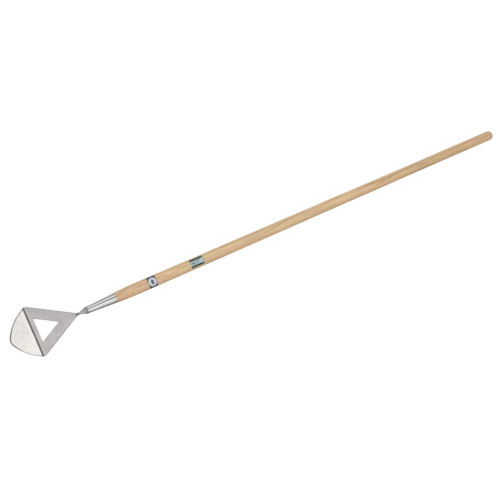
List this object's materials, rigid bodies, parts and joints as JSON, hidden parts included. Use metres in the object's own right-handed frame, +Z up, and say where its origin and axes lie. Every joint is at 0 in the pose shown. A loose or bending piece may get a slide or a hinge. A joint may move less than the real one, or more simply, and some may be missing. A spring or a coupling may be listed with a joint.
{
  "type": "stirrup hoe",
  "caption": "Long-handled push hoe: half-moon blade joined along a bend to a triangular stirrup plate, conical steel socket, tapered wooden handle.",
  "frame": {"origin": "middle of the ground under the lying tool, at the centre of its bounding box's bottom face", "axes": "+X from the blade along the tool to the grip, +Z up from the ground, +Y to the left; the tool is symmetric about Y = 0 apart from one label"},
  "size_m": [1.6484, 0.1572, 0.0819],
  "materials": {
    "ash_wood": "turned ash, oiled",
    "polished_steel": "polished stainless steel",
    "screw_steel": "bright steel",
    "forged_steel": "ground and polished forging",
    "weld_steel": "dressed weld, a little darker",
    "satin_steel": "satin stainless sheet",
    "blade_steel": "polished stainless sheet, ground edge",
    "band_label_print": "printed film",
    "long_label_print": "printed film"
  },
  "bodies": {
    "root": {"handle": "ash_wood", "socket": "polished_steel", "socket_screw": "screw_steel", "neck": "forged_steel", "socket_neck_weld": "weld_steel", "neck_plate_weld": "weld_steel", "stirrup_plate": "satin_steel", "blade": "blade_steel", "blade_weld": "weld_steel", "band_label": "band_label_print", "long_label": "long_label_print"}
  },
  "joints": []
}
